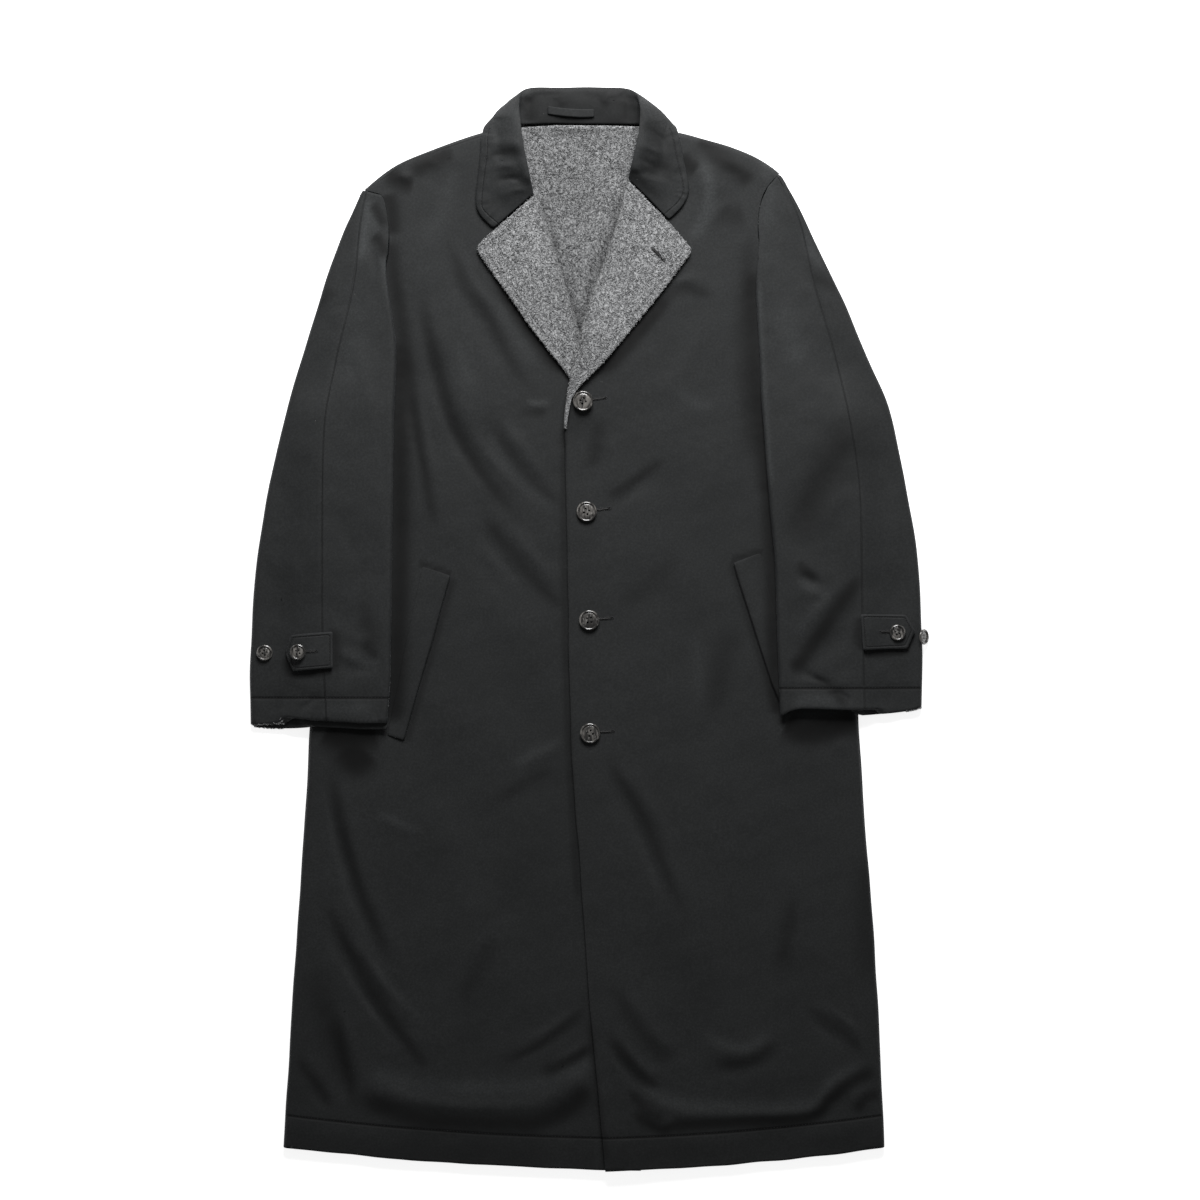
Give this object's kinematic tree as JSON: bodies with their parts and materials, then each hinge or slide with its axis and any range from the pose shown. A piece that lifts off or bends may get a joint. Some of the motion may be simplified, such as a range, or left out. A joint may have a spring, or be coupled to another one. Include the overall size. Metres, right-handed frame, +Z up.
{
  "type": "long reversible coat",
  "caption": "Long single-breasted coat laid flat, front up, with notched lapels, two-piece sleeves, cuff straps and slanted pocket welts.",
  "frame": {"origin": "on the surface that the coat lies on, under the middle of its bounding box", "axes": "+X across the coat from the wearer's right to the wearer's left, +Y from the hem to the collar, +Z up from the surface, towards the front of the coat"},
  "size_m": [0.7714, 1.231, 0.0335],
  "materials": {
    "gabardine_back": "matt black gabardine",
    "wool_back": "brushed grey wool",
    "gabardine_front_right": "matt black gabardine",
    "gabardine_front_left": "matt black gabardine",
    "wool_lapel_right": "brushed grey wool",
    "wool_lapel_left": "brushed grey wool",
    "gabardine_sleeve_right_front": "matt black gabardine",
    "gabardine_sleeve_right_back": "matt black gabardine",
    "gabardine_sleeve_left_front": "matt black gabardine",
    "gabardine_sleeve_left_back": "matt black gabardine",
    "gabardine_welt_right": "matt black gabardine",
    "gabardine_welt_left": "matt black gabardine",
    "gabardine_strap_right": "matt black gabardine",
    "gabardine_strap_left": "matt black gabardine",
    "gabardine_collar": "matt black gabardine",
    "gabardine_loop": "matt black gabardine",
    "horn": "polished dark horn"
  },
  "bodies": {
    "root": {"back": "gabardine_back", "back_wool": "wool_back", "front_right": "gabardine_front_right", "front_left": "gabardine_front_left", "lapel_right": "wool_lapel_right", "lapel_left": "wool_lapel_left", "sleeve_right_front": "gabardine_sleeve_right_front", "sleeve_right_back": "gabardine_sleeve_right_back", "sleeve_left_front": "gabardine_sleeve_left_front", "sleeve_left_back": "gabardine_sleeve_left_back", "pocket_welt_right": "gabardine_welt_right", "pocket_welt_left": "gabardine_welt_left", "cuff_strap_right": "gabardine_strap_right", "cuff_strap_left": "gabardine_strap_left", "collar": "gabardine_collar", "hanger_loop": "gabardine_loop", "front_button_1": "horn", "front_button_2": "horn", "front_button_3": "horn", "front_button_4": "horn", "cuff_button_right_1": "horn", "cuff_button_right_2": "horn", "cuff_button_left_1": "horn", "cuff_button_left_2": "horn"}
  },
  "joints": []
}
